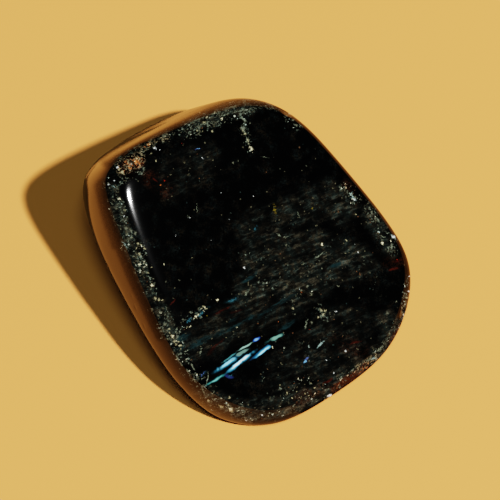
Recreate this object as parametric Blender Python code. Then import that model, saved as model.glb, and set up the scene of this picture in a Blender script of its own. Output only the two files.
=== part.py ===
"""Tumbled astrophyllite stone, one opaque polished pebble in the shape of a wedge.

Metres, +Z up. The stone rests on its level underside at z = 0, and the origin lies under the middle of its
bounding box. Seen from above, the thick corner is at the left and rear, and the thin rim is at the right and
front. The body is the rounded solid between nine steep sides, one tilted upper face, an undercut on
the left and the underside.
"""
from math import cos
from math import pi
from math import radians
from math import sin

import bmesh
import bpy
import numpy as np
from mathutils import Vector
from mathutils import noise

MM = 0.001

# Middle of the body, in mm from the point that the sides are measured around.
CENTRE = np.array([-0.055, -2.06, 3.2])

# The upper face: heading of its slope in degrees, rise of its normal in degrees, distance from CENTRE in mm.
FACE = (-50.7, 57.7, 5.66)

# The sides, counted round from the left: heading and rise of the outward normal in degrees, distance in mm.
SIDES = {
    "left": (188.2, -2.5, 13.50),
    "left_front": (213.4, 10.6, 11.09),
    "front": (251.4, -3.6, 12.74),
    "right_front": (-57.1, 14.5, 11.82),
    "right": (-10.7, -6.2, 14.27),
    "right_back": (47.0, 1.1, 11.20),
    "top": (73.7, 50.7, 15.71),
    "back": (108.1, 30.6, 17.20),
    "left_back": (122.3, 30.0, 14.61),
}

# The undercut below the girdle on the left, in the same values.
UNDERCUT = {
    "under_left": (184.0, -38.0, 8.40),
    "under_left_front": (198.0, -38.0, 7.26),
    "under_front": (204.0, -37.0, 7.99),
}

# How softly the surfaces run into each other, in mm.
SIDE_SOFTNESS = 1.38
FACE_SOFTNESS = 0.71
UNDER_SOFTNESS = 0.6
GIRDLE_SOFTNESS = 0.35

# The underside runs into the sides most softly towards one heading: middle value and lean in mm, and
# that heading in degrees.
BASE_SOFTNESS = 0.8
BASE_LEAN = 0.2
BASE_LEAN_HEADING = 20.0

# Depth by which the underside is worn flat, in mm.
BASE_WEAR = 0.22

# Gentle unevenness left by tumbling: wavelength and height in mm.
LUMPS = ((8.0, 0.07), (3.4, 0.018))

# Shallow hollows and rim nicks: position, radius and depth in mm.
HOLLOWS = {
    "corner_bruise": ((-9.62, 2.24, 15.34), 1.3, 0.14),
    "edge_bruise": ((-8.5, 3.4, 15.27), 0.9, 0.08),
    "left_nick": ((-13.1, 4.7, 9.0), 0.7, 0.07),
    "flank_dent": ((-9.07, -7.36, 6.98), 1.8, 0.10),
    "right_notch": ((13.1, -5.05, 2.12), 0.65, 0.12),
    "front_step": ((10.3, -9.26, 1.38), 0.65, 0.13),
    "front_notch": ((6.95, -11.92, 1.34), 0.55, 0.10),
    "front_chip": ((5.43, -12.89, 1.45), 0.55, 0.08),
    "back_chip": ((3.28, 8.48, 12.42), 0.7, 0.10),
    "back_dent": ((4.2, 10.4, 7.0), 1.8, 0.12),
}

# Points round a full row, and rows from the middle of the face down to the edge of the underside.
# The rows next to the middle of the face hold a quarter and a half of the points.
SEGMENTS = 112
ROWS = 42
QUARTER_ROWS = 2
HALF_ROWS = 4


def normal(heading, rise):
    """Unit vector from its heading and its rise above the level, both in degrees."""
    a = radians(heading)
    r = radians(rise)
    return np.array([cos(a) * cos(r), sin(a) * cos(r), sin(r)])


def soft_max(values, softness):
    """Largest of the values, blended where two are close."""
    top = values.max(axis=0)
    return top + softness * np.log(np.exp((values - top) / softness).sum(axis=0))


def outside(points):
    """How far points lie outside the stone, in mm; negative inside."""
    q = points - CENTRE
    sides = np.array([q @ normal(heading, rise) - reach for heading, rise, reach in SIDES.values()])
    wall = soft_max(sides, SIDE_SOFTNESS)
    face = q @ normal(FACE[0], FACE[1]) - FACE[2]
    under = np.array([q @ normal(heading, rise) - reach for heading, rise, reach in UNDERCUT.values()])
    body = soft_max(np.array([wall, face]), FACE_SOFTNESS)
    body = soft_max(np.array([body, soft_max(under, UNDER_SOFTNESS)]), GIRDLE_SOFTNESS)
    base = -q[..., 2] - CENTRE[2] - BASE_WEAR
    heading = np.arctan2(q[..., 1], q[..., 0])
    softness = BASE_SOFTNESS + BASE_LEAN * np.cos(heading - radians(BASE_LEAN_HEADING))
    return soft_max(np.array([body, base]) / softness, 1.0) * softness


def surface(heading, polar):
    """Points of the stone seen from CENTRE along headings and polar angles, in radians."""
    ray = np.stack([np.sin(polar) * np.cos(heading), np.sin(polar) * np.sin(heading), np.cos(polar)], axis=-1)
    near = np.zeros(polar.shape)
    far = np.full(polar.shape, 40.0)
    for _ in range(34):
        middle = (near + far) / 2
        inside = outside(CENTRE + ray * middle[..., None]) < 0
        near = np.where(inside, middle, near)
        far = np.where(inside, far, middle)
    return CENTRE + ray * far[..., None]


def profile_angles(headings):
    """Polar angles of the rows on each heading, from the top of the stone to the edge of its flat base.

    The rows stand closer where the surface turns, so the rounded edges keep their shape.
    """
    steps = 500
    polar = np.broadcast_to(np.linspace(0.0, 0.92 * pi, steps), (len(headings), steps))
    points = surface(np.broadcast_to(headings[:, None], polar.shape), polar)
    table = []
    for line, angles in zip(points, polar):
        end = np.argmax(line[:, 2] < 0.0)
        share = line[end - 1, 2] / (line[end - 1, 2] - line[end, 2])
        last = angles[end - 1] + share * (angles[end] - angles[end - 1])
        step = np.diff(line[:end], axis=0)
        length = np.linalg.norm(step, axis=1)
        unit = step / length[:, None]
        turn = np.arccos(np.clip((unit[1:] * unit[:-1]).sum(axis=1), -1.0, 1.0))
        weight = length.copy()
        weight[1:] += 5.0 * turn
        measure = np.concatenate([[0.0], np.cumsum(weight)])
        wanted = np.linspace(0.0, measure[-1], ROWS + 1)[1:]
        rows = np.interp(wanted, measure, angles[:end])
        rows *= last / rows[-1]
        table.append(rows)
    return np.array(table)


def worn(point):
    """Surface point moved by the tumbled unevenness and the hollows, in mm."""
    inward = CENTRE - point
    inward /= np.linalg.norm(inward)
    fade = min(1.0, point[2] / 1.5)
    depth = 0.0
    for wavelength, height in LUMPS:
        depth += fade * height * noise.noise(Vector(point / wavelength))
    for place, radius, deep in HOLLOWS.values():
        away = np.linalg.norm(point - np.array(place)) / radius
        if away < 1.0:
            depth += deep * (1.0 - away * away)
    return point + inward * depth


def row_size(row):
    """How many points stand round a row."""
    if row < QUARTER_ROWS:
        return SEGMENTS // 4
    if row < HALF_ROWS:
        return SEGMENTS // 2
    return SEGMENTS


def strip(upper, lower):
    """Faces between two rows of points, the lower with as many points or twice as many."""
    count = len(upper)
    faces = []
    for i in range(count):
        after = (i + 1) % count
        if len(lower) == count:
            faces.append((upper[i], lower[i], lower[after], upper[after]))
            continue
        first = lower[2 * i]
        middle = lower[2 * i + 1]
        last = lower[2 * after]
        faces.append((upper[i], first, middle))
        faces.append((upper[i], middle, upper[after]))
        faces.append((upper[after], middle, last))
    return faces


def stone_mesh():
    """Closed mesh of the stone, in metres, centred over the origin."""
    headings = np.linspace(0.0, 2.0 * pi, SEGMENTS, endpoint=False)
    angles = profile_angles(headings)
    grid = surface(np.broadcast_to(headings[:, None], angles.shape), angles)
    crown = surface(np.zeros(1), np.zeros(1))[0]
    points = [worn(crown)]
    rings = []
    for row in range(ROWS):
        size = row_size(row)
        rings.append(list(range(len(points), len(points) + size)))
        for segment in range(0, SEGMENTS, SEGMENTS // size):
            points.append(worn(grid[segment, row]))
    points = np.array(points)
    points[rings[-1], 2] = 0.0
    low = points.min(axis=0)
    high = points.max(axis=0)
    points[:, :2] -= (low[:2] + high[:2]) / 2
    faces = [(0, a, b) for a, b in zip(rings[0], rings[0][1:] + rings[0][:1])]
    for upper, lower in zip(rings, rings[1:]):
        faces += strip(upper, lower)
    faces.append(tuple(reversed(rings[-1])))
    mesh = bmesh.new()
    verts = [mesh.verts.new(Vector(p * MM)) for p in points]
    for corners in faces:
        mesh.faces.new([verts[i] for i in corners])
    bmesh.ops.recalc_face_normals(mesh, faces=mesh.faces)
    return mesh


def polished_stone():
    """Near-black polished rock."""
    material = bpy.data.materials.new("polished_rock")
    material.use_nodes = True
    shader = material.node_tree.nodes["Principled BSDF"]
    shader.inputs["Base Color"].default_value = (0.012, 0.011, 0.009, 1.0)
    shader.inputs["Roughness"].default_value = 0.08
    shader.inputs["Metallic"].default_value = 0.0
    return material


for old in list(bpy.data.objects):
    bpy.data.objects.remove(old, do_unlink=True)

form = stone_mesh()
data = bpy.data.meshes.new("stone")
form.to_mesh(data)
form.free()
data.materials.append(polished_stone())
data.shade_smooth()
data.set_sharp_from_angle(angle=radians(40.0))
stone = bpy.data.objects.new("stone", data)
bpy.context.scene.collection.objects.link(stone)
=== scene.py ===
"""Looks of the tumbled astrophyllite stone: fine surface, mineral markings, floor, light and camera."""
from math import atan2
from math import cos
from math import hypot
from math import pi
from math import radians
from math import sin

import bmesh
import bpy
import numpy as np
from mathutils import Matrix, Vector
from mathutils import noise


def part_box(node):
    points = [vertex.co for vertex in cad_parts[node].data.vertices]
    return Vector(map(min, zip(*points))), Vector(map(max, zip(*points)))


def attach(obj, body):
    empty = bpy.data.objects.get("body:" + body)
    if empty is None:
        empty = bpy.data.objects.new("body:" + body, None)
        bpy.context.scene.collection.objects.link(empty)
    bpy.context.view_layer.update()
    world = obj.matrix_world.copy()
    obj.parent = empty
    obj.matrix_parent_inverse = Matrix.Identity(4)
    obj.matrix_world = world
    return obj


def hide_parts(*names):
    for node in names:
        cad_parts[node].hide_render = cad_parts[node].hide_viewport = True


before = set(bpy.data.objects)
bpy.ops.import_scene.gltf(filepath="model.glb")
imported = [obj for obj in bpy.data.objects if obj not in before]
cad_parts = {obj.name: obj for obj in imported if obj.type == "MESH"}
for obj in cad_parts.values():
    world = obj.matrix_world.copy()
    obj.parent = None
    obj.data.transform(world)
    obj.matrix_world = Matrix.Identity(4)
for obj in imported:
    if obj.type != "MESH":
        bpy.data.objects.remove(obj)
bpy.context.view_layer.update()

MM = 0.001

# The stone's form, in mm, from the same named values as its solid, but for a shallower dent on the flank.
# The face and the sides are heading and rise of the outward normal in degrees, and distance from CENTRE.
CENTRE = np.array([-0.055, -2.06, 3.2])
FACE = (-50.7, 57.7, 5.66)
SIDES = {
    "left": (188.2, -2.5, 13.50),
    "left_front": (213.4, 10.6, 11.09),
    "front": (251.4, -3.6, 12.74),
    "right_front": (-57.1, 14.5, 11.82),
    "right": (-10.7, -6.2, 14.27),
    "right_back": (47.0, 1.1, 11.20),
    "top": (73.7, 50.7, 15.71),
    "back": (108.1, 30.6, 17.20),
    "left_back": (122.3, 30.0, 14.61),
}

# The undercut below the girdle on the left, in the same values.
UNDERCUT = {
    "under_left": (184.0, -38.0, 8.40),
    "under_left_front": (198.0, -38.0, 7.26),
    "under_front": (204.0, -37.0, 7.99),
}

# How softly the surfaces run into each other, in mm. Round the underside, the softness leans towards one
# heading, in degrees.
SIDE_SOFTNESS = 1.38
FACE_SOFTNESS = 0.71
UNDER_SOFTNESS = 0.6
GIRDLE_SOFTNESS = 0.35
BASE_SOFTNESS = 0.8
BASE_LEAN = 0.2
BASE_LEAN_HEADING = 20.0

# Depth by which the underside is worn flat, in mm.
BASE_WEAR = 0.22

# Gentle unevenness left by tumbling: wavelength and height in mm.
LUMPS = ((8.0, 0.07), (3.4, 0.018))

# Shallow hollows and rim nicks: position, radius and depth in mm.
HOLLOWS = {
    "corner_bruise": ((-9.62, 2.24, 15.34), 1.3, 0.14),
    "edge_bruise": ((-8.5, 3.4, 15.27), 0.9, 0.08),
    "left_nick": ((-13.1, 4.7, 9.0), 0.7, 0.07),
    "flank_dent": ((-9.07, -7.36, 6.98), 1.8, 0.03),
    "right_notch": ((13.1, -5.05, 2.12), 0.65, 0.12),
    "front_step": ((10.3, -9.26, 1.38), 0.65, 0.13),
    "front_notch": ((6.95, -11.92, 1.34), 0.55, 0.10),
    "front_chip": ((5.43, -12.89, 1.45), 0.55, 0.08),
    "back_chip": ((3.28, 8.48, 12.42), 0.7, 0.10),
    "back_dent": ((4.2, 10.4, 7.0), 1.8, 0.12),
}

# Points round a full row and number of rows; the first rows hold a quarter and then a half of the points.
SEGMENTS = 480
ROWS = 196
QUARTER_ROWS = 14
HALF_ROWS = 34

# Search for the surface: length of a ray in mm and number of halvings. Search for the rows: steps along a
# profile, its last polar angle, and the weight of a turn of the surface in mm per radian.
FARTHEST = 40.0
HALVINGS = 30
PROFILE_STEPS = 300
LOWEST_POLAR = 0.92 * pi
TURN_WEIGHT = 5.0

# Height in mm over which the unevenness fades in above the underside.
FADE_HEIGHT = 1.5

# Seeded pits: number, seed, span of polar angles in turns of pi, sizes in mm, depths as a share of the size,
# and how far below the plane of the face they keep, in mm.
PITS = 60
PIT_SEED = 7
PIT_SPAN = (0.2, 0.62)
PIT_SIZES = (0.12, 0.26)
PIT_DEPTHS = (0.08, 0.15)
FACE_MARGIN = 0.35

# Broken patches: place, reach and height of their roughness in mm.
BROKEN = (
    ((-9.62, 2.24, 15.34), 1.5, 0.09),
    ((-8.5, 3.4, 15.27), 1.1, 0.05),
    ((10.3, -9.26, 1.38), 0.8, 0.06),
    ((6.95, -11.92, 1.34), 0.55, 0.05),
    ((13.1, -5.05, 2.12), 0.8, 0.06),
)

# Grain of the broken patches: wavelength in mm and share of each noise, and the middle level.
BROKEN_GRAIN = ((0.55, 1.0), (0.27, 0.5))
BROKEN_LEVEL = 0.6

# Edges sharper than this, in degrees, aren't smoothed.
SHARP_ANGLE = 60.0


def normal(heading, rise):
    """Unit vector from its heading and its rise above the level, both in degrees."""
    a = radians(heading)
    r = radians(rise)
    return np.array([cos(a) * cos(r), sin(a) * cos(r), sin(r)])


FACE_NORMAL = normal(FACE[0], FACE[1])


def soft_max(values, softness):
    """Largest of the values, blended where two are close."""
    top = values.max(axis=0)
    return top + softness * np.log(np.exp((values - top) / softness).sum(axis=0))


def outside(points):
    """How far points lie outside the stone, in mm; negative inside."""
    q = points - CENTRE
    sides = np.array([q @ normal(heading, rise) - reach for heading, rise, reach in SIDES.values()])
    wall = soft_max(sides, SIDE_SOFTNESS)
    face = q @ FACE_NORMAL - FACE[2]
    under = np.array([q @ normal(heading, rise) - reach for heading, rise, reach in UNDERCUT.values()])
    body = soft_max(np.array([wall, face]), FACE_SOFTNESS)
    body = soft_max(np.array([body, soft_max(under, UNDER_SOFTNESS)]), GIRDLE_SOFTNESS)
    base = -q[..., 2] - CENTRE[2] - BASE_WEAR
    heading = np.arctan2(q[..., 1], q[..., 0])
    softness = BASE_SOFTNESS + BASE_LEAN * np.cos(heading - radians(BASE_LEAN_HEADING))
    return soft_max(np.array([body, base]) / softness, 1.0) * softness


def surface(heading, polar):
    """Points of the stone seen from CENTRE along headings and polar angles, in radians."""
    level = np.sin(polar)
    ray = np.stack([level * np.cos(heading), level * np.sin(heading), np.cos(polar)], axis=-1)
    near = np.zeros(polar.shape)
    far = np.full(polar.shape, FARTHEST)
    for _ in range(HALVINGS):
        middle = (near + far) / 2
        inside = outside(CENTRE + ray * middle[..., None]) < 0
        near = np.where(inside, middle, near)
        far = np.where(inside, far, middle)
    return CENTRE + ray * far[..., None]


def profile_angles(headings):
    """Polar angles of the rows on each heading, closer together where the surface turns."""
    polar = np.broadcast_to(np.linspace(0.0, LOWEST_POLAR, PROFILE_STEPS), (len(headings), PROFILE_STEPS))
    points = surface(np.broadcast_to(headings[:, None], polar.shape), polar)
    table = []
    for line, angles in zip(points, polar):
        end = np.argmax(line[:, 2] < 0.0)
        share = line[end - 1, 2] / (line[end - 1, 2] - line[end, 2])
        last = angles[end - 1] + share * (angles[end] - angles[end - 1])
        step = np.diff(line[:end], axis=0)
        length = np.linalg.norm(step, axis=1)
        unit = step / length[:, None]
        turn = np.arccos(np.clip((unit[1:] * unit[:-1]).sum(axis=1), -1.0, 1.0))
        weight = length.copy()
        weight[1:] += TURN_WEIGHT * turn
        measure = np.concatenate([[0.0], np.cumsum(weight)])
        wanted = np.linspace(0.0, measure[-1], ROWS + 1)[1:]
        rows = np.interp(wanted, measure, angles[:end])
        rows *= last / rows[-1]
        table.append(rows)
    return np.array(table)


def small_pits():
    """Seeded pits beside the polished face: place, radius and depth in mm."""
    chance = np.random.default_rng(PIT_SEED)
    pits = []
    while len(pits) < PITS:
        heading = chance.uniform(0.0, 2.0 * pi)
        polar = chance.uniform(*PIT_SPAN) * pi
        size = chance.uniform(*PIT_SIZES)
        place = surface(np.array([heading]), np.array([polar]))[0]
        if (place - CENTRE) @ FACE_NORMAL < FACE[2] - FACE_MARGIN:
            pits.append((place, size, size * chance.uniform(*PIT_DEPTHS)))
    return pits


def broken_roughness(point):
    """Roughness of the broken patches at one point, as a share of their height."""
    rough = 0.0
    for wavelength, share in BROKEN_GRAIN:
        rough += share * noise.noise(Vector(point / wavelength))
    return BROKEN_LEVEL + rough


def wear(points):
    """Surface points moved by the unevenness, the hollows, the pits and the broken patches, in mm."""
    inward = CENTRE - points
    inward /= np.linalg.norm(inward, axis=1)[:, None]
    depth = np.zeros(len(points))
    for i, point in enumerate(points):
        lift = 0.0
        for wavelength, height in LUMPS:
            lift += height * noise.noise(Vector(point / wavelength))
        depth[i] = lift * min(1.0, point[2] / FADE_HEIGHT)
    for place, radius, deep in list(HOLLOWS.values()) + small_pits():
        away = np.linalg.norm(points - np.array(place), axis=1) / radius
        depth += deep * np.clip(1.0 - away * away, 0.0, None)
    for place, reach, height in BROKEN:
        away = np.linalg.norm(points - np.array(place), axis=1) / reach
        for i in np.nonzero(away < 1.0)[0]:
            depth[i] += height * (1.0 - away[i] ** 2) * broken_roughness(points[i])
    return points + inward * depth[:, None]


def row_size(row):
    """How many points stand round a row."""
    if row < QUARTER_ROWS:
        return SEGMENTS // 4
    if row < HALF_ROWS:
        return SEGMENTS // 2
    return SEGMENTS


def strip(upper, lower):
    """Faces between two rows of points, the lower with as many points or twice as many."""
    count = len(upper)
    faces = []
    for i in range(count):
        after = (i + 1) % count
        if len(lower) == count:
            faces.append((upper[i], lower[i], lower[after], upper[after]))
            continue
        first = lower[2 * i]
        middle = lower[2 * i + 1]
        last = lower[2 * after]
        faces.append((upper[i], first, middle))
        faces.append((upper[i], middle, upper[after]))
        faces.append((upper[after], middle, last))
    return faces


def stone_points():
    """Points and faces of the fine surface, in mm, in the box of the solid."""
    headings = np.linspace(0.0, 2.0 * pi, SEGMENTS, endpoint=False)
    angles = profile_angles(headings)
    grid = surface(np.broadcast_to(headings[:, None], angles.shape), angles)
    points = [surface(np.zeros(1), np.zeros(1))[0]]
    rings = []
    for row in range(ROWS):
        size = row_size(row)
        rings.append(list(range(len(points), len(points) + size)))
        points.extend(grid[::SEGMENTS // size, row])
    points = wear(np.array(points))
    points[rings[-1], 2] = 0.0
    faces = [(0, a, b) for a, b in zip(rings[0], rings[0][1:] + rings[0][:1])]
    for upper, lower in zip(rings, rings[1:]):
        faces += strip(upper, lower)
    faces.append(tuple(reversed(rings[-1])))
    low, high = (np.array(corner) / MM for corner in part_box("stone"))
    own_low = points.min(axis=0)
    own_high = points.max(axis=0)
    scale = np.minimum((high - low) / (own_high - own_low), 1.0)
    points = (points - own_low) * scale
    points[:, :2] += ((low + high) / 2 - (own_high - own_low) * scale / 2)[:2]
    return points, faces


def stone_object():
    """The stone's fine mesh as one object."""
    points, faces = stone_points()
    data = bpy.data.meshes.new("polished_stone")
    data.from_pydata([tuple(p * MM) for p in points], [], faces)
    data.validate()
    mesh = bmesh.new()
    mesh.from_mesh(data)
    bmesh.ops.recalc_face_normals(mesh, faces=mesh.faces)
    mesh.to_mesh(data)
    mesh.free()
    data.shade_smooth()
    data.set_sharp_from_angle(angle=radians(SHARP_ANGLE))
    piece = bpy.data.objects.new("polished_stone", data)
    bpy.context.scene.collection.objects.link(piece)
    return piece


# Plan grid: a flat grid in front of the stone, on which its markings are placed. Its step is in mm, its axes
# are unit vectors, its middle lies over GRID_POINT and it widens from a point GRID_SPREAD mm away. Up the
# grid, the second number of a place gets smaller.
GRID_STEP = 0.085
GRID_ACROSS = (1.0, 0.0, 0.0)
GRID_UP = (0.0, 0.883, 0.469)
GRID_NEAR = (0.0, -0.469, 0.883)
GRID_POINT = np.array([0.237, 1.009, 0.0])
GRID_MIDDLE = (250.0, 260.0)
GRID_SPREAD = 300.0


def on_grid(points):
    """Grid place of points in mm."""
    q = points - GRID_POINT
    widen = 1.0 / (1.0 - (q @ np.array(GRID_NEAR)) / GRID_SPREAD) / GRID_STEP
    return GRID_MIDDLE[0] + q[:, 0] * widen, GRID_MIDDLE[1] - (q @ np.array(GRID_UP)) * widen


# Zones where mica flecks crowd: a line of grid places, half width and strength.
FLECK_ZONES = [
    (((112, 190), (120, 221), (131, 250)), 7, 0.62),
    (((131, 250), (145, 280), (160, 308), (171, 333)), 6.5, 0.6),
    (((122, 230), (134, 244), (144, 258)), 7, 1.0),
    (((164, 326), (172, 338), (181, 350)), 7, 1.0),
    (((180, 355), (192, 375), (210, 393)), 7, 0.7),
    (((206, 400), (222, 407), (236, 408)), 7, 0.8),
    (((236, 412), (252, 417)), 5, 0.9),
    (((108, 184), (116, 180), (130, 176)), 6, 0.9),
    (((124, 158), (134, 168)), 10, 0.9),
    (((138, 150), (152, 142), (168, 134)), 6, 0.9),
    (((190, 128), (205, 118), (222, 112), (245, 106)), 10, 1.0),
    (((245, 102), (275, 105)), 6, 0.9),
    (((286, 114), (298, 126)), 5, 0.6),
    (((240, 112), (244, 130), (250, 148)), 4, 0.9),
    (((346, 188), (354, 198)), 6, 0.9),
    (((368, 208), (376, 220)), 6, 0.7),
    (((376, 232), (394, 240)), 5, 0.7),
    (((388, 244), (394, 252)), 4, 0.7),
    (((407, 280), (406, 302)), 4, 0.8),
    (((402, 318), (394, 336), (376, 356)), 6, 0.7),
    (((366, 364), (350, 374), (325, 392), (300, 405), (270, 414)), 5, 0.5),
    (((282, 396), (300, 388), (318, 382)), 9, 0.35),
    (((318, 309), (326, 316)), 5, 0.9),
    (((186, 322), (200, 312)), 5, 0.8),
    (((232, 302), (252, 292), (275, 283)), 4, 0.3),
    (((256, 288), (300, 268), (345, 256)), 9, 0.14),
    (((240, 256), (262, 254)), 5, 0.35),
    (((290, 300), (312, 288)), 6, 0.25),
    (((330, 250), (372, 268), (384, 290)), 12, 0.09),
    (((262, 344), (300, 350), (350, 344)), 14, 0.08),
]

# Zones of thin olive-grey haze; along the bottom rim they also hold a painted reflection of the floor.
HAZE_AND_REFLECTION_ZONES = [
    (((262, 262), (310, 250), (345, 262)), 18, 0.7),
    (((250, 290), (300, 272), (360, 262)), 14, 1.0),
    (((296, 292), (318, 284)), 12, 1.0),
    (((326, 196), (342, 210)), 14, 0.8),
    (((256, 230), (285, 215), (310, 205)), 16, 0.6),
    (((250, 258), (262, 254)), 6, 0.8),
    (((190, 345), (230, 325), (290, 300)), 16, 0.5),
    (((386, 320), (396, 335), (380, 352)), 9, 1.0),
    (((345, 330), (320, 350), (290, 375)), 22, 0.45),
    # The next three zones lie along the bottom rim: the stone's olive haze together with a painted reflection
    # of the floor, where the rim's reflection falls in shade.
    (((212, 400), (240, 412), (280, 408)), 10, 1.0),
    (((360, 366), (330, 384), (290, 404)), 9, 0.9),
    (((196, 398), (204, 406)), 7, 0.8),
    (((172, 180), (200, 160)), 16, 0.35),
    (((370, 215), (378, 228)), 8, 0.9),
    (((388, 242), (392, 252)), 6, 0.7),
    (((110, 150), (116, 160)), 4, 0.5),
    (((112, 190), (121, 222), (131, 250), (146, 282), (161, 310), (174, 338)), 6, 0.9),
    (((190, 124), (222, 110), (250, 104)), 8, 0.9),
]

# Zones where the haze turns red-brown.
RUST_ZONES = [
    (((150, 178), (166, 190)), 7, 0.5),
    (((126, 167), (138, 161)), 6, 0.7),
    (((388, 262), (404, 262)), 5, 0.3),
    (((340, 340), (360, 350)), 8, 0.3),
    (((346, 184), (354, 190)), 4, 0.4),
    (((300, 399), (318, 388)), 6, 0.5),
    (((336, 388), (352, 379), (366, 369)), 5, 1.0),
    (((392, 344), (403, 326)), 4, 0.7),
]

# Zones where the surface is broken and no longer polished.
DULL_ZONES = [
    (((121, 167), (137, 159)), 8, 1.0),
    (((142, 148), (166, 136)), 4, 0.8),
    (((112, 160), (118, 152)), 3, 0.6),
    (((404, 308), (407, 318)), 3, 1.0),
    (((360, 367), (376, 357)), 4, 1.0),
    (((328, 397), (332, 395)), 2, 1.0),
    (((194, 122), (225, 112)), 6, 0.5),
    (((236, 414), (270, 416), (300, 408)), 4, 0.5),
]

# Zones where the coat is thinner and its reflection dimmer: wear along the rim, and painted shade on the band
# at the upper left and the inner side of the left flank.
WEAR_AND_SHADE_ZONES = [
    (((256, 416), (284, 412), (304, 405)), 8, 0.45),
    (((304, 405), (330, 391), (368, 367)), 9, 0.85),
    (((374, 359), (392, 342), (403, 324)), 8, 0.8),
    # The next three zones are painted shade: they dim the reflection on the band at the upper left and on the
    # left flank.
    (((108, 158), (140, 140), (170, 126), (200, 112), (230, 103), (262, 99), (285, 104)), 9, 0.56),
    (((102, 186), (108, 212), (118, 243)), 8, 0.42),
    (((119, 246), (131, 276), (146, 308), (160, 336)), 5, 0.4),
    (((405, 314), (411, 285), (409, 262), (399, 240)), 7, 0.4),
    (((396, 236), (376, 206), (354, 178), (330, 150), (305, 122)), 6, 0.2),
]

# Half widths at which a zone has faded out.
ZONE_REACH = 1.6

# Facing of the surface towards the grid at which the placed markings start, and how soon they are full.
FACING_START = 0.02
FACING_SPAN = 0.15

# Clouds that stand in for the zones on the hidden sides: wavelengths in mm.
CLOUD_SIZE = 3.1
WISP_SIZE = 5.3
WISP_OFFSET = Vector((9.0, 4.0, 2.0))

# Cover of the hidden sides: its level, and how far the clouds move it.
HIDDEN_FLECKS = (0.35, 1.1)
HIDDEN_HAZE = (0.3, 1.0)
HIDDEN_RUST = (-0.3, 2.0)


def zone_strength(gx, gy, zones):
    """Largest strength that any zone gives at each grid place."""
    total = np.zeros(len(gx))
    for line, half_width, strength in zones:
        nearest = np.full(len(gx), np.inf)
        for (x1, y1), (x2, y2) in zip(line, line[1:]):
            dx = x2 - x1
            dy = y2 - y1
            along = np.clip(((gx - x1) * dx + (gy - y1) * dy) / (dx * dx + dy * dy), 0.0, 1.0)
            nearest = np.minimum(nearest, np.hypot(gx - x1 - along * dx, gy - y1 - along * dy))
        fade = np.clip(ZONE_REACH - nearest / half_width, 0.0, 1.0)
        total = np.maximum(total, strength * fade * fade * (3.0 - 2.0 * fade))
    return total


def cover(cloud, level, gain):
    """Cover that a cloud gives, from 0 to 1."""
    return np.clip(level + gain * cloud, 0.0, 1.0)


def paint_zones(piece):
    """Stores the zones on the mesh.

    One layer holds flecks, haze with a painted reflection along the bottom rim, rust and how far a point
    faces the grid, the other dull, and wear with painted shade.
    """
    data = piece.data
    points = np.empty(len(data.vertices) * 3, dtype=np.float32)
    normals = np.empty(len(data.vertices) * 3, dtype=np.float32)
    data.vertices.foreach_get("co", points)
    data.vertices.foreach_get("normal", normals)
    points = points.reshape(-1, 3).astype(float) / MM
    normals = normals.reshape(-1, 3).astype(float)
    gx, gy = on_grid(points)
    facing = np.clip((normals @ np.array(GRID_NEAR) - FACING_START) / FACING_SPAN, 0.0, 1.0)
    hidden = 1.0 - facing
    cloud = np.array([noise.noise(Vector(p / CLOUD_SIZE)) for p in points])
    wisp = np.array([noise.noise(Vector(p / WISP_SIZE) + WISP_OFFSET) for p in points])
    flecks = facing * zone_strength(gx, gy, FLECK_ZONES) + hidden * cover(cloud, *HIDDEN_FLECKS)
    # Haze, with a painted reflection of the floor along the bottom rim.
    haze = facing * zone_strength(gx, gy, HAZE_AND_REFLECTION_ZONES) + hidden * cover(wisp, *HIDDEN_HAZE)
    rust = facing * zone_strength(gx, gy, RUST_ZONES) + hidden * cover(wisp, *HIDDEN_RUST)
    dull = facing * zone_strength(gx, gy, DULL_ZONES)
    # Thinner coat: wear along the rim, and painted shade that dims the reflection on the upper-left band and
    # the left flank.
    worn = facing * zone_strength(gx, gy, WEAR_AND_SHADE_ZONES)
    for name, parts in (("zones", (flecks, haze, rust, facing)), ("surface", (dull, worn, worn, worn))):
        layer = data.color_attributes.new(name, "FLOAT_COLOR", "POINT")
        layer.data.foreach_set("color", np.stack(parts, axis=1).astype(np.float32).ravel())


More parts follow.
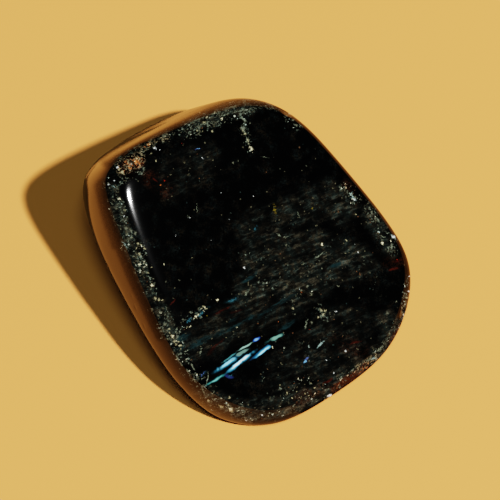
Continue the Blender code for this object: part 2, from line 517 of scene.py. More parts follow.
class Graph:
    """Short hand for building one material's nodes."""

    def __init__(self, name):
        self.material = bpy.data.materials.new(name)
        self.material.use_nodes = True
        self.tree = self.material.node_tree
        self.shader = self.tree.nodes["Principled BSDF"]

    def put(self, kind, settings=None, inputs=None):
        """New node with its settings and its inputs, each a value or another node's output."""
        node = self.tree.nodes.new(kind)
        for key, value in (settings or {}).items():
            setattr(node, key, value)
        for key, value in (inputs or {}).items():
            self.feed(node.inputs[key], value)
        return node

    def feed(self, socket, value):
        """Gives a socket a value or another node's output."""
        if isinstance(value, bpy.types.NodeSocket):
            self.tree.links.new(value, socket)
        else:
            socket.default_value = value

    def math(self, operation, a, b=0.0):
        """Result of a Math node."""
        return self.put("ShaderNodeMath", {"operation": operation}, {0: a, 1: b}).outputs[0]

    def product(self, first, *others):
        """Product of two or more values, from the left."""
        for other in others:
            first = self.math("MULTIPLY", first, other)
        return first

    def vector(self, operation, a, b=(0.0, 0.0, 0.0)):
        """Result of a Vector Math node."""
        node = self.put("ShaderNodeVectorMath", {"operation": operation}, {0: a, 1: b})
        return node.outputs["Value" if operation in ("DOT_PRODUCT", "DISTANCE") else "Vector"]

    def scaled(self, vector, factor):
        """Vector times a number."""
        node = self.put("ShaderNodeVectorMath", {"operation": "SCALE"}, {0: vector, "Scale": factor})
        return node.outputs["Vector"]

    def ramp(self, x, low, high, start=0.0, end=1.0):
        """Smooth step from start to end as x goes from low to high."""
        inputs = {"Value": x, "From Min": low, "From Max": high, "To Min": start, "To Max": end}
        settings = {"interpolation_type": "SMOOTHSTEP", "clamp": False}
        node = self.put("ShaderNodeMapRange", settings, inputs)
        return node.outputs["Result"]

    def blend(self, share, a, b):
        """Colour between a and b."""
        node = self.put("ShaderNodeMix", {"data_type": "RGBA"})
        for socket, value in zip((node.inputs[0], node.inputs[6], node.inputs[7]), (share, a, b)):
            self.feed(socket, value)
        return node.outputs[2]

    def noise(self, vector, scale, detail=2.0, roughness=0.5, output="Fac"):
        """Noise from 0 to 1."""
        inputs = {"Vector": vector, "Scale": scale, "Detail": detail, "Roughness": roughness}
        return self.put("ShaderNodeTexNoise", {}, inputs).outputs[output]

    def split(self, colour):
        """The three numbers of a colour."""
        parts = self.put("ShaderNodeSeparateColor", {}, {"Color": colour}).outputs
        return parts[0], parts[1], parts[2]

    def cells(self, vector, scale):
        """Three random values for each of many small angular cells."""
        node = self.put("ShaderNodeTexVoronoi", {}, {"Vector": vector, "Scale": scale})
        return self.split(node.outputs["Color"])

    def shake(self, vector, scale, amount):
        """Vector moved about by noise."""
        random = self.noise(vector, scale, output="Color")
        push = self.scaled(self.vector("SUBTRACT", random, (0.5, 0.5, 0.5)), amount)
        return self.vector("ADD", vector, push)


def rgb(red, green, blue):
    """Shader colour from display values of 0 to 255."""
    parts = []
    for value in (red, green, blue):
        v = value / 255.0
        parts.append(v / 12.92 if v <= 0.04045 else ((v + 0.055) / 1.055) ** 2.4)
    return (*parts, 1.0)


# Edges of spots in radii, and of strokes in half widths and as a depth.
SPOT_EDGES = (1.25, 0.1)
STROKE_MARGIN = 1.25
STROKE_EDGE = 0.55
BLADE_EDGE = 0.5

# Small flecks on the plan grid: colour, then place and radius of each.
SPOTS = [
    (rgb(94, 96, 82), [
        (121, 159, 1.2), (164, 135, 2.0), (167, 134, 1.2), (163, 141, 1.2), (108, 183, 1.0),
        (117, 204, 1.2), (116, 208, 1.2), (121, 209, 1.2), (125, 206, 1), (126, 228, 2), (131, 230, 2),
        (121, 229, 1.3), (127, 234, 1.5), (135, 233, 1.6), (152, 309, 1.5), (153, 312.5, 1),
        (158, 315.5, 1), (165, 324, 1.8), (181, 314.5, 1), (211, 299.3, 0.9), (294.5, 314, 1.4),
        (311.5, 322.5, 1.4), (387.7, 313, 1.6), (396.5, 301.5, 1.4), (340, 387, 1.4),
        (279.8, 168.7, 0.9), (286.2, 245, 1.3), (338.5, 285.8, 1.0), (293, 120, 1.4), (296, 125, 1.3),
        (250, 123, 0.9), (233, 163, 1.2), (238, 160, 0.9), (376.7, 276.5, 0.9), (189, 174, 0.9),
        (166, 281, 0.8), (179.5, 279.5, 0.9), (268, 102, 1.6), (273, 105, 1.4), (236, 106, 1.5),
        (244, 102, 1.4), (226, 110, 1.5), (199, 127, 1.2), (207, 125, 1.2), (218, 121, 1.4),
        (225, 122, 1.1), (372, 212, 1.4), (369, 208, 1.1), (375, 219, 1.3), (301, 290, 1.2),
        (307, 286, 1.6), (311, 294, 1.2), (322, 268, 1.0),
    ]),
    (rgb(146, 141, 112), [
        (122, 171.5, 1.6), (119, 169, 1.1), (156, 161, 1.0), (151, 153, 1.1), (124.5, 210, 0.9),
        (138.5, 243, 1.2), (141, 243.5, 1.0), (145, 248, 1.4), (139.5, 254, 1.3), (134, 256, 0.9),
        (132, 237, 0.9), (136, 248, 0.9), (151.5, 267, 0.8), (148, 272, 0.9), (155, 298, 1.7),
        (159, 299.5, 1.4), (162, 300, 1), (169, 329, 1.3), (172, 336, 1.6), (175, 340.5, 1.4),
        (178.5, 341.5, 1.3), (180, 345, 1.6), (170, 332, 1), (174, 338, 1), (176, 344, 1),
        (181, 348, 1), (168, 339, 1), (243, 130, 1.2), (245, 134, 1.4), (248, 140, 1.2),
        (249, 143, 1.1), (204, 122, 1.5), (212, 131, 1.3), (197, 130, 1.0), (203, 131, 1.0),
        (346.4, 239.6, 1.0), (345.5, 253.3, 0.8), (356, 214.3, 0.8), (318.5, 316.5, 1.2),
        (321, 310, 1.6), (325, 310, 1.3), (323.5, 314, 1.3), (407, 297.5, 1.3), (405.5, 301, 1.0),
        (228, 405, 1.4), (232, 411, 1.4), (229.5, 397.5, 1.3), (219, 406, 1.1), (222, 406.6, 1.1),
        (325, 399.3, 1.2), (279.9, 385, 0.9), (293, 308, 1.4), (192.2, 257.7, 0.7), (226.5, 337.5, 0.8),
        (204, 306, 1.1), (206, 309, 1.2), (202, 308, 0.9), (314.5, 387.5, 0.9), (309, 395.5, 0.9),
        (305, 393, 0.9), (297, 391, 0.9), (301, 397, 0.8), (292, 398, 1.0), (287, 393, 0.9),
        (311, 383, 0.8), (183, 144.5, 0.9),
    ]),
    (rgb(206, 201, 168), [
        (119.4, 198.3, 1.5), (139.5, 263.8, 1.2), (152, 285, 1.7), (173, 336, 1.2), (176.5, 341, 0.9),
        (179.5, 344.5, 1.0), (208.3, 400.3, 1.2), (230.5, 409, 1.7), (220.5, 406, 0.9),
        (251.6, 149.2, 1.8), (250, 147, 1.2), (206.8, 117.2, 1.2), (222, 118.5, 1.3),
        (199.5, 112.4, 1.1), (214.5, 112.5, 1.2), (217.3, 299.8, 1.3), (205, 307, 0.9), (196, 316, 1.3),
        (198, 314, 1.0), (194.5, 318, 0.9), (382.6, 243.3, 1.4), (321.9, 244.3, 1.3),
        (163.8, 263.6, 0.9), (272.3, 347, 0.9), (187, 327, 0.8), (190, 326, 0.8), (236.6, 327.3, 0.9),
    ]),
    (rgb(220, 225, 222), [
        (117.5, 166.5, 1.1), (131, 163.7, 0.8), (155, 148, 1.3), (160, 149.3, 0.9), (114.3, 180.2, 1.1),
        (108.4, 184.5, 1.0), (124.2, 215.7, 0.7), (189.3, 217.6, 0.8), (243.8, 267.5, 1.2),
        (326.3, 360, 1.0), (334, 372.5, 0.9), (358.2, 251.8, 0.9), (345.7, 351, 0.9), (202.9, 158, 0.9),
        (393.4, 236.6, 1.7), (354.6, 199.3, 1.1), (410, 276, 1.0), (408.6, 291, 1.0),
        (330.3, 395.3, 2.1), (328.6, 395.8, 1.4), (335.7, 311.1, 0.8), (262, 414.5, 1.1),
        (246, 420, 0.8), (299.5, 289, 0.6), (355, 244.6, 0.6), (221, 192, 0.6), (253, 196, 0.6),
        (268, 185, 0.5), (229, 219, 0.5), (211, 240, 0.6), (176, 235, 0.5),
    ]),
    (rgb(168, 100, 52), [
        (127.5, 163.5, 1.4), (129, 166.8, 1.2), (136, 161.5, 2.2), (139, 163, 1.2), (148.5, 144.6, 1.3),
        (160.4, 184.8, 0.8), (124, 172, 0.9), (133, 159, 1.0), (301.7, 292, 0.9), (145, 147, 0.8),
        (278.5, 321.5, 0.8),
    ]),
    (rgb(226, 196, 150), [(137, 158.4, 1.5), (135, 161, 0.9), (147.5, 144, 0.8), (150, 143.5, 0.8)]),
    (rgb(140, 44, 22), [(309.5, 329, 0.8), (397, 260, 0.9), (164.5, 180, 0.9), (182, 143, 0.6)]),
    (rgb(104, 92, 30), [(275, 210, 1.3), (207, 315, 1.1), (312, 208, 1.0)]),
]

# Soft fibrous strokes on the plan grid: colour, then the ends and half width of each.
SOFT_STROKES = [
    (rgb(22, 40, 42), [
        (186, 350, 214, 334, 3.2), (178, 340, 190, 332, 3.4), (210, 338, 246, 322, 2.4),
        (226, 330, 262, 312, 2.6), (252, 322, 290, 294, 1.8), (224, 303, 244, 296, 3.2),
        (240, 284, 258, 272, 2.6), (228, 322, 240, 316, 1.4), (274, 309, 300, 290, 1.6),
        (176, 350, 184, 344, 3.0), (196, 312, 214, 304, 2.2), (254, 231, 258, 224, 1.6),
        (258, 318, 263, 313, 1.8), (276, 333, 297, 319, 2.3), (328, 268, 342, 262, 2.4),
        (198, 377, 208, 370, 2.0),
    ]),
    (rgb(54, 21, 13), [
        (212, 316, 232, 305, 1.3), (228, 313, 243, 309, 1.5), (394, 262, 403, 259, 1.5),
        (388, 271, 400, 268, 1.5), (170, 306, 176, 298, 1.0), (207, 355, 216, 346, 2.2),
        (214, 347, 226, 337, 1.4), (152, 177, 158, 183, 0.9), (350, 344, 362, 340, 1.6),
        (322, 384, 334, 378, 1.6),
    ]),
]

# Thin strokes on the plan grid: colour, then the ends and half width of each.
STROKES = [
    (rgb(100, 106, 92), [
        (192, 121, 206, 116, 0.9), (198, 126, 214, 120, 0.8), (208, 115, 222, 111, 0.9),
        (218, 117, 232, 112, 0.8), (224, 109, 242, 103, 1.0), (232, 113, 246, 108, 0.8),
        (240, 100, 256, 99, 1.0), (186, 125, 196, 121, 0.7), (242, 124, 246, 136, 1.2),
        (246, 136, 249, 146, 1.2), (262, 101, 274, 105, 1.0), (239, 116, 247, 121, 1.0),
        (307, 318, 305, 329, 1.0), (199.5, 356, 201.5, 346, 0.8), (184, 351.5, 189.5, 349, 0.9),
        (176, 355, 179, 361, 0.8), (179, 361, 183, 366, 0.7), (175, 333, 178, 326, 0.8),
        (178, 334, 182, 327, 0.7), (209, 369, 206, 386, 0.6), (202, 389, 205, 393, 0.7),
        (212, 393, 215, 390, 0.7), (314, 259, 325, 251, 0.7), (297, 211, 300.5, 218.5, 0.5),
        (276, 232, 281, 236.5, 1.1), (281, 236.5, 291, 236.5, 0.4), (243.5, 297, 250, 289, 0.9),
        (262, 381, 264.5, 376, 0.7), (260, 156.5, 270, 157, 0.4), (143, 271, 149, 273, 0.7),
        (392, 250, 391, 243, 0.8), (388, 252, 389, 245, 0.7), (187, 214, 189.3, 217.5, 0.4),
        (197, 214, 197.4, 202, 0.4), (190, 362, 195, 371, 0.7), (186, 368, 190, 375, 0.7),
        (193, 377, 197, 383, 0.7), (213, 402, 205, 401, 0.5), (376, 352, 384, 345, 1.2),
        (366, 361, 372, 357, 1.6), (346, 190, 354, 199, 0.9), (378, 234, 386, 238, 0.7),
    ]),
    # Pale teal: flecks whose flash of light is painted into their colour as painted glints; the short one at
    # the upper left is a painted glint beside the highlight.
    (rgb(124, 146, 142), [
        (121.5, 240.5, 127.6, 247.6, 0.9), (316.8, 347.6, 324.2, 340.2, 1.2), (349, 193, 356, 201, 1.1),
        (352, 192, 350, 197, 0.8), (391, 235, 396, 239, 1.0), (372, 359.6, 376, 357, 1.6),
        (112, 185, 115, 187, 0.6),
    ]),
    (rgb(88, 78, 30), [(274, 203.5, 275.2, 214.5, 1.3)]),
    (rgb(176, 172, 152), [
        (403.6, 318, 408, 309, 1.7), (403, 322, 406, 316, 1.0), (398, 331, 401, 326, 1.0),
    ]),
    (rgb(44, 80, 90), [
        (198, 316, 204.5, 311.5, 1.3), (187, 322.5, 191, 318, 1.7), (226, 302, 238, 298, 1.2),
        (254.4, 230, 257, 225.6, 0.9), (228, 377, 233, 374, 0.8),
    ]),
    (rgb(70, 86, 132), [
        (194.5, 149.3, 200.3, 148.6, 0.7), (200, 376, 206, 371, 0.6), (303.6, 362.4, 308.4, 356.6, 1.4),
    ]),
    # Bright blue: painted glints, the flash of light off two flecks put into their colour.
    (rgb(96, 146, 176), [(303.6, 362.6, 306.4, 359.4, 0.9), (197, 149, 199, 148.8, 0.5)]),
]

# Blades of the bright spray, from the back to the front: ends, half width and colour. Their teal is their own
# colour; their pale cyan middles are painted glints, the flash of light off the blades put into their colour.
BLADES_AND_FLASH = [
    (211.5, 373.5, 249, 348.6, 2.9, rgb(22, 62, 74)),
    (214, 371.8, 244.5, 351.6, 2.2, rgb(50, 112, 138)),
    (217, 369.8, 239.5, 354.6, 1.5, rgb(130, 188, 210)),
    (219.5, 363.8, 237, 352, 1.0, rgb(58, 104, 108)),
    (234.5, 357, 248.5, 348.8, 1.9, rgb(86, 112, 104)),
    (235.5, 351.6, 254, 340.8, 1.2, rgb(78, 108, 102)),
    (238, 350, 252, 342, 0.8, rgb(122, 150, 140)),
    (253.5, 340.6, 260, 336.6, 1.6, rgb(40, 76, 150)),
    (254.6, 340, 258.6, 337.6, 1.1, rgb(104, 144, 184)),
    (205.5, 386, 227, 372.6, 1.7, rgb(38, 92, 94)),
    (208, 384.4, 223, 375, 0.9, rgb(96, 150, 144)),
    (224, 374, 257.5, 348.6, 2.5, rgb(30, 82, 100)),
    (226.5, 372, 254.5, 350.4, 1.9, rgb(78, 144, 174)),
    (230, 369, 251, 353, 1.3, rgb(204, 230, 236)),
    (225.5, 374.8, 232.5, 377.2, 2.2, rgb(30, 40, 76)),
    (250, 360, 275, 341.6, 2.2, rgb(30, 78, 110)),
    (253.5, 358.6, 272.6, 343.6, 1.7, rgb(82, 148, 178)),
    (256, 356.8, 270, 345.6, 1.0, rgb(150, 204, 224)),
    (264.5, 343.4, 286, 332.4, 2.2, rgb(34, 70, 72)),
    (267.5, 341.8, 283, 333.8, 1.7, rgb(96, 132, 120)),
]


def spots_share(g, grid, places):
    """Share of the spots of one colour."""
    nearest = {}
    for x, y, radius in places:
        away = g.vector("DISTANCE", grid, (x, y, 0.0))
        nearest[radius] = g.math("MINIMUM", nearest[radius], away) if radius in nearest else away
    total = None
    for radius, away in nearest.items():
        share = g.ramp(away, radius * SPOT_EDGES[0], radius * SPOT_EDGES[1])
        total = share if total is None else g.math("MAXIMUM", total, share)
    return total


def stroke_depth(g, grid, x1, y1, x2, y2, half_width):
    """How deep a place lies inside a long thin oval, 0 at its edge and 1 in its middle."""
    inputs = {
        "Vector": grid,
        "Location": ((x1 + x2) / 2, (y1 + y2) / 2, 0.0),
        "Rotation": (0.0, 0.0, atan2(y2 - y1, x2 - x1)),
        "Scale": (hypot(x2 - x1, y2 - y1) / 2 + half_width, half_width * STROKE_MARGIN, 1.0),
    }
    local = g.put("ShaderNodeMapping", {"vector_type": "TEXTURE"}, inputs).outputs[0]
    oval = g.put("ShaderNodeTexGradient", {"gradient_type": "SPHERICAL"}, {"Vector": local})
    return oval.outputs["Fac"]


def strokes_share(g, grid, strokes):
    """Share of the strokes of one colour."""
    total = None
    for stroke in strokes:
        depth = stroke_depth(g, grid, *stroke)
        total = depth if total is None else g.math("MAXIMUM", total, depth)
    return g.ramp(total, 0.0, STROKE_EDGE)


# Colours of the rock: near-black ground and its faint mottling, haze, its fibres, rust, single sparkles,
# flakes from dark to pale and their rusty tone, bright flakes, and crushed grain with its orange chips.
GROUND = rgb(2, 2, 2)
MOTTLES = (rgb(21, 27, 26), rgb(31, 27, 20))
CLOUDS = (rgb(30, 35, 32), rgb(37, 35, 29))
STREAKS = (rgb(66, 73, 68), rgb(76, 73, 62))
RUST = rgb(60, 29, 12)
SPARKS = (rgb(38, 50, 48), rgb(74, 72, 58))
WARM_SPARK = rgb(80, 58, 40)
FLAKES = (rgb(36, 44, 40), rgb(64, 62, 50))
PALE_FLAKE = rgb(86, 93, 83)
RUSTY_FLAKE = rgb(92, 56, 32)
BRIGHT_FLAKES = (rgb(150, 166, 160), rgb(176, 172, 146))
BRIGHT_RUSTY_FLAKE = rgb(206, 150, 100)
CRUSHED = (rgb(30, 27, 21), rgb(128, 118, 94))
CHIP = rgb(158, 96, 54)

# Noises of the rock: repeats per mm, and per fibre for the last, detail and roughness.
GRAIN = (7.0, 4.0, 0.7)
TINT = (1.9, 2.0, 0.6)
SMOKE = (0.9, 5.0, 0.62)
PATCHES = (1.5, 3.0, 0.6)
RELIEF = (4.5, 3.0, 0.6)
FIBRES = (1.0, 5.0, 0.66)

# Fibres: slope in degrees, and length, width and thickness of one in grid steps.
FIBRE_SLOPE = -23.0
FIBRE_SIZE = (20.0, 4.0, 1.0)

# Unevenness that bends places: repeats and reach, in mm for the flakes and in grid steps for the marks.
CURL = (3.0, 0.5)
FRAY = (0.45, 5.0)
BEND = (0.10, 3.5)

# Sparkles and flakes: cells per mm, share of the cells that stay dark where there is no haze, how much haze
# lowers it, and the share of the cells that show where flakes crowd most.
SPARK_CELLS = 9.0
SPARK_THRESHOLD = 0.998
SPARK_HAZE = 0.02
FLAKE_CELLS = 7.4
FLAKE_SHARE = 0.62

# Ranges over which a layer fades in with a noise or a zone, and where given, its level at their two ends.
MOTTLE_SMOKE = (0.46, 0.72)
MOTTLE_GRAIN = (0.4, 0.62)
MOTTLE_TINT = (0.42, 0.6)
CLOUD_SMOKE = (0.32, 0.68, 0.15, 1.0)
CLOUD_FIBRE = (0.36, 0.6, 0.4, 1.0)
CLOUD_TINT = (0.4, 0.6)
STREAK_FIBRE = (0.48, 0.68)
STREAK_GRAIN = (0.3, 0.6, 0.3, 1.0)
STREAK_TINT = (0.4, 0.58)
RUST_NOISE = (0.9, 1.25)
SPARK_TINT = (0.15, 0.4)
SPARK_WARMTH = (0.82, 0.9)
SPARK_GRAIN = (0.35, 0.6, 0.25, 1.0)
CROWD_PATCHES = (0.4, 0.6, 0.1, 1.0)
FLAKE_EDGE = (0.0, 0.08)
FLAKE_GRAIN = (0.34, 0.5)
FLAKE_TINT = (0.2, 0.8)
PALE_TONE = (0.3, 0.9)
BRIGHT_TONE = (0.925, 0.975)
CRUSHED_ZONE = (0.35, 0.9)
CRUSHED_TONE = (0.5, 0.72)
CRUSHED_GRAIN = (0.3, 0.5)
CHIP_FLAKE = (0.66, 0.74)
SOFT_STROKE_FIBRE = (0.4, 0.62, 0.15, 1.0)
BLADE_FIBRE = (0.32, 0.5, 0.5, 1.0)
STROKE_GRAIN = (0.36, 0.56, 0.3, 1.0)
SPOT_GRAIN = (0.3, 0.5, 0.5, 1.0)

# Gloss: range of the grain and roughness of the rock below the coat at its two ends, range of the wear and
# weight of the coat on polished rock and where wear and painted shade thin it, share of the grain in the
# wear, roughness and index of the coat, and strength and depth in m of the fine relief on broken patches.
ROCK_ROUGHNESS = (0.3, 0.7, 0.38, 0.6)
COAT_WEIGHT = (0.35, 1.2, 0.74, 0.04)
WEAR_GRAIN = 0.6
COAT_ROUGHNESS = 0.045
COAT_INDEX = 1.52
RELIEF_STRENGTH = 0.8
RELIEF_DEPTH = 0.0001


class Rock(Graph):
    """Nodes that the layers of the rock share: places, zones and noises."""

    def __init__(self):
        super().__init__("polished_rock")
        place = self.put("ShaderNodeTexCoord").outputs["Object"]
        self.mm = self.scaled(place, 1.0 / MM)
        zones = self.put("ShaderNodeAttribute", {"attribute_name": "zones"})
        self.flecks, self.haze, self.rust = self.split(zones.outputs["Color"])
        self.facing = zones.outputs["Alpha"]
        surface_zones = self.put("ShaderNodeAttribute", {"attribute_name": "surface"})
        # Second layer: dull patches, and wear with painted shade that thins the coat.
        self.dull, self.worn, _ = self.split(surface_zones.outputs["Color"])
        grid = self.grid_place()
        self.frayed = self.shake(grid, *FRAY)
        self.bent = self.shake(grid, *BEND)
        self.grain = self.noise(self.mm, *GRAIN)
        self.tint = self.noise(self.mm, *TINT)
        self.smoke = self.noise(self.mm, *SMOKE)
        inputs = {"Vector": self.bent, "Rotation": (0.0, 0.0, radians(FIBRE_SLOPE)), "Scale": FIBRE_SIZE}
        along = self.put("ShaderNodeMapping", {"vector_type": "TEXTURE"}, inputs).outputs[0]
        self.fibre = self.noise(along, *FIBRES)
        curl = self.shake(self.mm, *CURL)
        self.flake, self.flake_tint, self.flake_tone = self.cells(curl, FLAKE_CELLS)

    def grid_place(self):
        """Place on the plan grid, as on_grid gives it."""
        from_middle = self.vector("SUBTRACT", self.mm, tuple(GRID_POINT))
        near = self.vector("DOT_PRODUCT", from_middle, GRID_NEAR)
        shrink = self.math("SUBTRACT", 1.0, self.math("DIVIDE", near, GRID_SPREAD))
        widen = self.math("DIVIDE", 1.0 / GRID_STEP, shrink)
        across = self.math("MULTIPLY", self.vector("DOT_PRODUCT", from_middle, GRID_ACROSS), widen)
        up = self.math("MULTIPLY", self.vector("DOT_PRODUCT", from_middle, GRID_UP), widen)
        gx = self.math("ADD", across, GRID_MIDDLE[0])
        gy = self.math("SUBTRACT", GRID_MIDDLE[1], up)
        return self.put("ShaderNodeCombineXYZ", {}, {"X": gx, "Y": gy}).outputs[0]


def ground(g):
    """Near-black ground with faint patches of grey-green, brown and teal."""
    faint = g.math("MULTIPLY", g.ramp(g.smoke, *MOTTLE_SMOKE), g.ramp(g.grain, *MOTTLE_GRAIN))
    mottle = g.blend(g.ramp(g.tint, *MOTTLE_TINT), *MOTTLES)
    return g.blend(faint, GROUND, mottle)


def add_haze(g, colour):
    """Soft haze, along the bottom rim with a painted reflection of the floor, within it paler fibres that
    rise to the right, and its rusty places.
    """
    cloudy = g.product(g.haze, g.ramp(g.smoke, *CLOUD_SMOKE), g.ramp(g.fibre, *CLOUD_FIBRE))
    colour = g.blend(cloudy, colour, g.blend(g.ramp(g.tint, *CLOUD_TINT), *CLOUDS))
    streaky = g.product(cloudy, g.ramp(g.fibre, *STREAK_FIBRE), g.ramp(g.grain, *STREAK_GRAIN))
    colour = g.blend(streaky, colour, g.blend(g.ramp(g.tint, *STREAK_TINT), *STREAKS))
    rusty = g.math("MULTIPLY", g.rust, g.ramp(g.math("ADD", g.smoke, g.grain), *RUST_NOISE))
    return g.blend(rusty, colour, RUST)


def add_sparkles(g, colour):
    """Single sparkles in the depth of the stone."""
    spark, spark_tint, _ = g.cells(g.mm, SPARK_CELLS)
    wanted = g.math("SUBTRACT", SPARK_THRESHOLD, g.math("MULTIPLY", g.haze, SPARK_HAZE))
    spark_colour = g.blend(g.ramp(spark_tint, *SPARK_TINT), *SPARKS)
    spark_colour = g.blend(g.ramp(spark_tint, *SPARK_WARMTH), spark_colour, WARM_SPARK)
    lit = g.math("MULTIPLY", g.math("GREATER_THAN", spark, wanted), g.ramp(g.grain, *SPARK_GRAIN))
    return g.blend(lit, colour, spark_colour)


def add_flakes(g, colour):
    """Crowded angular flakes of mica. The more they crowd, the more of the cells are pale."""
    patches = g.noise(g.mm, *PATCHES)
    crowd = g.math("MULTIPLY", g.flecks, g.ramp(patches, *CROWD_PATCHES))
    dark_share = g.math("SUBTRACT", 1.0, g.math("MULTIPLY", crowd, FLAKE_SHARE))
    over = g.math("SUBTRACT", g.flake, dark_share)
    shown = g.math("MULTIPLY", g.ramp(over, *FLAKE_EDGE), g.ramp(g.grain, *FLAKE_GRAIN))
    rusty = g.math("MULTIPLY", g.rust, g.flake_tint)
    dim = g.blend(g.ramp(g.flake_tint, *FLAKE_TINT), *FLAKES)
    dim = g.blend(g.ramp(g.flake_tone, *PALE_TONE), dim, PALE_FLAKE)
    dim = g.blend(rusty, dim, RUSTY_FLAKE)
    colour = g.blend(shown, colour, dim)
    bright = g.blend(g.flake_tint, *BRIGHT_FLAKES)
    bright = g.blend(rusty, bright, BRIGHT_RUSTY_FLAKE)
    shining = g.math("MULTIPLY", shown, g.ramp(g.flake_tone, *BRIGHT_TONE))
    return g.blend(shining, colour, bright)


def add_crushed_grain(g, colour):
    """Crushed grain where the polish is gone."""
    pale = g.math("MULTIPLY", g.ramp(g.dull, *CRUSHED_ZONE), g.ramp(g.flake_tone, *CRUSHED_TONE))
    grains = g.blend(g.flake_tint, *CRUSHED)
    orange = g.math("MULTIPLY", g.rust, g.ramp(g.flake, *CHIP_FLAKE))
    grains = g.blend(orange, grains, CHIP)
    return g.blend(g.math("MULTIPLY", pale, g.ramp(g.grain, *CRUSHED_GRAIN)), colour, grains)


def add_marks(g, colour):
    """Marks that have their own place: soft strokes, blades with their painted flash, thin strokes with some
    painted glints, and spots.
    """
    fibrous = g.ramp(g.fibre, *SOFT_STROKE_FIBRE)
    for mark_colour, strokes in SOFT_STROKES:
        share = g.product(strokes_share(g, g.bent, strokes), g.facing, fibrous)
        colour = g.blend(share, colour, mark_colour)
    # Blades: teal colour, with a painted glint of pale cyan along their middles.
    for x1, y1, x2, y2, half_width, mark_colour in BLADES_AND_FLASH:
        share = g.ramp(stroke_depth(g, g.bent, x1, y1, x2, y2, half_width), 0.0, BLADE_EDGE)
        share = g.product(share, g.facing, g.ramp(g.fibre, *BLADE_FIBRE))
        colour = g.blend(share, colour, mark_colour)
    torn = g.ramp(g.grain, *STROKE_GRAIN)
    for mark_colour, strokes in STROKES:
        share = g.product(strokes_share(g, g.frayed, strokes), g.facing, torn)
        colour = g.blend(share, colour, mark_colour)
    for mark_colour, places in SPOTS:
        share = g.product(spots_share(g, g.frayed, places), g.facing, g.ramp(g.grain, *SPOT_GRAIN))
        colour = g.blend(share, colour, mark_colour)
    return colour


def add_gloss(g):
    """Polish as a clear coat, thinner where the stone shows wear and where painted shade dims its reflection,
    and fine relief where it is broken.
    """
    inputs = g.shader.inputs
    g.feed(inputs["Roughness"], g.ramp(g.grain, *ROCK_ROUGHNESS))
    # The coat thins with dull patches and with wear and painted shade; the painted shade dims the reflection
    # on the upper-left band and the left flank.
    wear = g.math("ADD", g.math("MAXIMUM", g.dull, g.worn), g.math("MULTIPLY", g.grain, WEAR_GRAIN))
    g.feed(inputs["Coat Weight"], g.ramp(wear, *COAT_WEIGHT))
    strength = g.math("MULTIPLY", g.dull, RELIEF_STRENGTH)
    relief = {"Height": g.noise(g.mm, *RELIEF), "Strength": strength, "Distance": RELIEF_DEPTH}
    g.feed(inputs["Normal"], g.put("ShaderNodeBump", {}, relief).outputs[0])
    inputs["Specular IOR Level"].default_value = 0.0
    inputs["Coat Roughness"].default_value = COAT_ROUGHNESS
    inputs["Coat IOR"].default_value = COAT_INDEX


def stone_material():
    """Near-black polished rock with its minerals."""
    g = Rock()
    colour = ground(g)
    for layer in (add_haze, add_sparkles, add_flakes, add_crushed_grain, add_marks):
        colour = layer(g, colour)
    g.feed(g.shader.inputs["Base Color"], colour)
    add_gloss(g)
    return g.material


# Floor: radius in m, points round it, colour, roughness and gloss.
FLOOR_RADIUS = 3.0
FLOOR_POINTS = 96
FLOOR_COLOUR = rgb(225, 152, 84)
FLOOR_ROUGHNESS = 0.9
FLOOR_GLOSS = 0.1

# Lamps: name, direction, distance and size in m, power in W, colour, and whether the polish mirrors them.
LAMPS = (
    ("key", (0.418, -0.364, 0.832), 1.2, 0.05, 21.0, (1.0, 0.99, 0.98), True),
    ("overhead", (0.02, -0.28, 0.95), 1.5, 0.4, 5.1, (0.75, 0.99, 1.0), False),
)
SKY_COLOUR = (0.75, 0.92, 1.0, 1.0)
SKY_STRENGTH = 0.02

# Camera: elevation in degrees, distance and clip range in m, width of the sensor in mm, and grid steps across
# the frame.
CAMERA_ELEVATION = 62.0
CAMERA_DISTANCE = 0.3
CAMERA_CLIP = (0.01, 20.0)
SENSOR_WIDTH = 36.0
FRAME_STEPS = 500.0


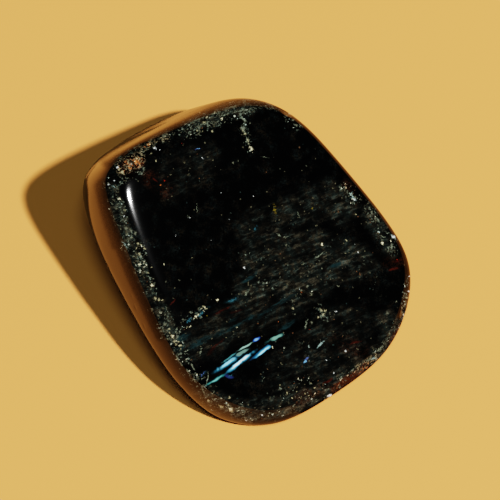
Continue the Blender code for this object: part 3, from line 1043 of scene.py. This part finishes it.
def floor():
    """Plain level floor."""
    mesh = bmesh.new()
    bmesh.ops.create_circle(mesh, cap_ends=True, segments=FLOOR_POINTS, radius=FLOOR_RADIUS)
    data = bpy.data.meshes.new("floor")
    mesh.to_mesh(data)
    mesh.free()
    ground = bpy.data.objects.new("floor", data)
    bpy.context.scene.collection.objects.link(ground)
    g = Graph("pale_floor")
    g.shader.inputs["Base Color"].default_value = FLOOR_COLOUR
    g.shader.inputs["Roughness"].default_value = FLOOR_ROUGHNESS
    g.shader.inputs["Specular IOR Level"].default_value = FLOOR_GLOSS
    data.materials.append(g.material)


def soft_light(name, towards, distance, size, power, colour, mirrored):
    """Round lamp aimed at the stone."""
    lamp = bpy.data.lights.new(name, "AREA")
    lamp.shape = "DISK"
    lamp.size = size
    lamp.energy = power
    lamp.color = colour
    holder = bpy.data.objects.new(name, lamp)
    place = Vector(towards).normalized() * distance
    holder.location = place
    holder.rotation_mode = "QUATERNION"
    holder.rotation_quaternion = place.to_track_quat("Z", "Y")
    holder.visible_glossy = mirrored
    bpy.context.scene.collection.objects.link(holder)


def light_room():
    """Lamps and a faint sky."""
    for lamp in LAMPS:
        soft_light(*lamp)
    world = bpy.data.worlds.new("room")
    world.use_nodes = True
    back = world.node_tree.nodes["Background"]
    back.inputs["Color"].default_value = SKY_COLOUR
    back.inputs["Strength"].default_value = SKY_STRENGTH
    bpy.context.scene.world = world


def camera():
    """Looks down on the stone from the front, with a square frame of about 42 mm."""
    e = radians(CAMERA_ELEVATION)
    back = Vector((0.0, -cos(e), sin(e)))
    up = Vector((0.0, sin(e), cos(e)))
    middle = Vector(GRID_POINT * MM) + up * ((GRID_MIDDLE[1] - FRAME_STEPS / 2) * GRID_STEP * MM)
    eye = middle + back * CAMERA_DISTANCE
    data = bpy.data.cameras.new("camera")
    data.sensor_width = SENSOR_WIDTH
    data.lens = SENSOR_WIDTH * CAMERA_DISTANCE / (FRAME_STEPS * GRID_STEP * MM)
    data.clip_start, data.clip_end = CAMERA_CLIP
    holder = bpy.data.objects.new("camera", data)
    holder.location = eye
    holder.rotation_mode = "QUATERNION"
    holder.rotation_quaternion = back.to_track_quat("Z", "Y")
    bpy.context.scene.collection.objects.link(holder)
    bpy.context.scene.camera = holder


stone = stone_object()
paint_zones(stone)
stone.data.materials.append(stone_material())
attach(stone, "root")
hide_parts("stone")
floor()
light_room()
camera()
bpy.context.scene.view_settings.view_transform = "Filmic"
bpy.context.scene.view_settings.look = "High Contrast"
